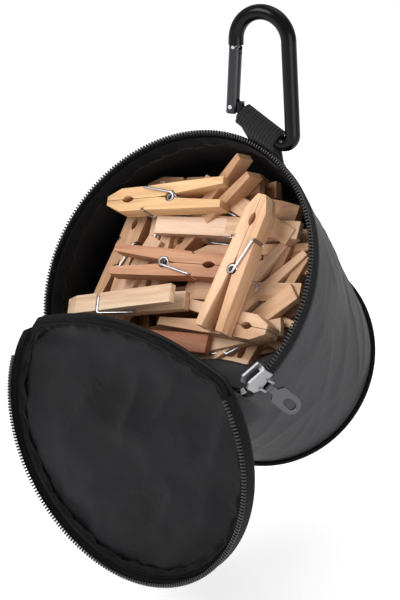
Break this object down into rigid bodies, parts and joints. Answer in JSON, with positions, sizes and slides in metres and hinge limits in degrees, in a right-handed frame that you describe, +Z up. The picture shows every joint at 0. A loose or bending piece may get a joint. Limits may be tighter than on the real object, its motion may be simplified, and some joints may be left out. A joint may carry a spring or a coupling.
{
  "type": "peg bag",
  "caption": "Drum-shaped black nylon peg bag, open and full of wooden spring pegs, with a round zipped lid hanging down and a carabiner on a webbing loop to hang it from a line.",
  "frame": {"origin": "inside of the carabiner's crown, where it rests on a hook or line", "axes": "+Z up along gravity; the bag's mouth faces -Y and a little up; +X to the right along the lid's hinge, seen from the mouth"},
  "size_m": [0.1873, 0.2162, 0.3029],
  "materials": {
    "black_anodised": "gloss",
    "grey_anodised": "satin",
    "steel": "satin",
    "nylon": "satin",
    "tape": "matte",
    "webbing": "matte",
    "zip_plastic": "gloss",
    "zinc": "satin",
    "dark_zinc": "satin",
    "wood_pale": "matte",
    "wood_honey": "matte",
    "wood_tan": "matte",
    "wood_brown": "matte"
  },
  "bodies": {
    "carabiner": {"carabiner_frame": "black_anodised", "gate_rivet": "steel"},
    "gate": {"carabiner_gate": "grey_anodised", "gate_pin": "steel", "gate_plunger": "steel", "gate_spring": "steel"},
    "bag": {"bag_wall": "nylon", "base_panel": "nylon", "base_piping": "tape", "bag_zip_tape": "tape", "bag_zip_teeth": "zip_plastic", "zip_start_stop": "zinc", "zip_end_stop": "zinc", "hinge_lip": "nylon", "hanging_loop": "webbing", "peg_pile": "wood_tan", "peg_06": "wood_tan", "peg_07": "wood_brown", "peg_08": "wood_pale", "peg_09": "wood_brown", "peg_10": "wood_pale", "peg_01_fixed_arm": "wood_pale", "peg_02_fixed_arm": "wood_honey", "peg_03_fixed_arm": "wood_honey", "peg_04_fixed_arm": "wood_tan", "peg_05_fixed_arm": "wood_tan", "peg_01_spring": "steel", "peg_02_spring": "steel", "peg_03_spring": "steel", "peg_04_spring": "steel", "peg_05_spring": "steel"},
    "lid": {"lid_panel": "nylon", "lid_piping": "tape", "lid_zip_tape": "tape", "lid_zip_teeth": "zip_plastic", "hinge_gusset": "nylon"},
    "slider": {"zip_slider": "zinc"},
    "pull_tab": {"pull_tab": "dark_zinc"},
    "peg_01_jaw": {"peg_01_moving_arm": "wood_pale"},
    "peg_02_jaw": {"peg_02_moving_arm": "wood_honey"},
    "peg_03_jaw": {"peg_03_moving_arm": "wood_honey"},
    "peg_04_jaw": {"peg_04_moving_arm": "wood_tan"},
    "peg_05_jaw": {"peg_05_moving_arm": "wood_tan"}
  },
  "joints": [
    {"name": "gate_hinge", "type": "hinge", "parent": "carabiner", "child": "gate", "pos_m": [-0.01626, -0.00287, -0.0465], "axis": [-0.1736, 0.9848, 0], "range_deg": [0, 18], "stiffness_Nm_per_rad": 0.02, "springref_deg": -11.46},
    {"name": "bag_swing", "type": "hinge", "parent": "carabiner", "child": "bag", "pos_m": [-0.00049, -0.00009, -0.05575], "axis": [0.8529, 0.1504, -0.5], "range_deg": [-20, 20]},
    {"name": "lid_hinge", "type": "hinge", "parent": "bag", "child": "lid", "pos_m": [-0.02497, -0.07859, -0.16462], "axis": [1, 0, 0], "range_deg": [-215, 0], "deforming": ["hinge_gusset"]},
    {"name": "slider_run", "type": "hinge", "parent": "bag", "child": "slider", "pos_m": [-0.02497, -0.04418, -0.13134], "axis": [0, -0.8192, 0.5736], "range_deg": [0, 235], "deforming": ["hanging_loop"]},
    {"name": "pull_swing", "type": "hinge", "parent": "slider", "child": "pull_tab", "pos_m": [0.05112, -0.05904, -0.16826], "axis": [-0.454, -0.5111, -0.7299], "range_deg": [-20, 80]},
    {"name": "peg_01_opens", "type": "hinge", "parent": "bag", "child": "peg_01_jaw", "pos_m": [-0.05071, -0.04719, -0.15195], "axis": [0.309, -0.5455, -0.7791], "range_deg": [0, 10], "stiffness_Nm_per_rad": 0.3, "springref_deg": -8.59, "deforming": ["peg_01_spring"]},
    {"name": "peg_02_opens", "type": "hinge", "parent": "bag", "child": "peg_02_jaw", "pos_m": [0.00995, -0.03259, -0.12419], "axis": [0, -0.8192, 0.5736], "range_deg": [0, 10], "stiffness_Nm_per_rad": 0.3, "springref_deg": -8.59, "deforming": ["peg_02_spring"]},
    {"name": "peg_03_opens", "type": "hinge", "parent": "bag", "child": "peg_03_jaw", "pos_m": [-0.05365, -0.00597, -0.10408], "axis": [0, -0.8192, 0.5736], "range_deg": [0, 10], "stiffness_Nm_per_rad": 0.3, "springref_deg": -8.59, "deforming": ["peg_03_spring"]},
    {"name": "peg_04_opens", "type": "hinge", "parent": "bag", "child": "peg_04_jaw", "pos_m": [-0.04238, -0.02581, -0.13425], "axis": [0.0685, -0.8095, 0.5831], "range_deg": [0, 10], "stiffness_Nm_per_rad": 0.3, "springref_deg": -8.59, "deforming": ["peg_04_spring"]},
    {"name": "peg_05_opens", "type": "hinge", "parent": "bag", "child": "peg_05_jaw", "pos_m": [-0.00293, -0.03641, -0.15354], "axis": [-0.139, -0.8154, 0.562], "range_deg": [0, 10], "stiffness_Nm_per_rad": 0.3, "springref_deg": -8.59, "deforming": ["peg_05_spring"]}
  ],
  "couplings": [
    {"joint": "slider_run", "follows": "lid_hinge", "ratio": -1.09}
  ]
}
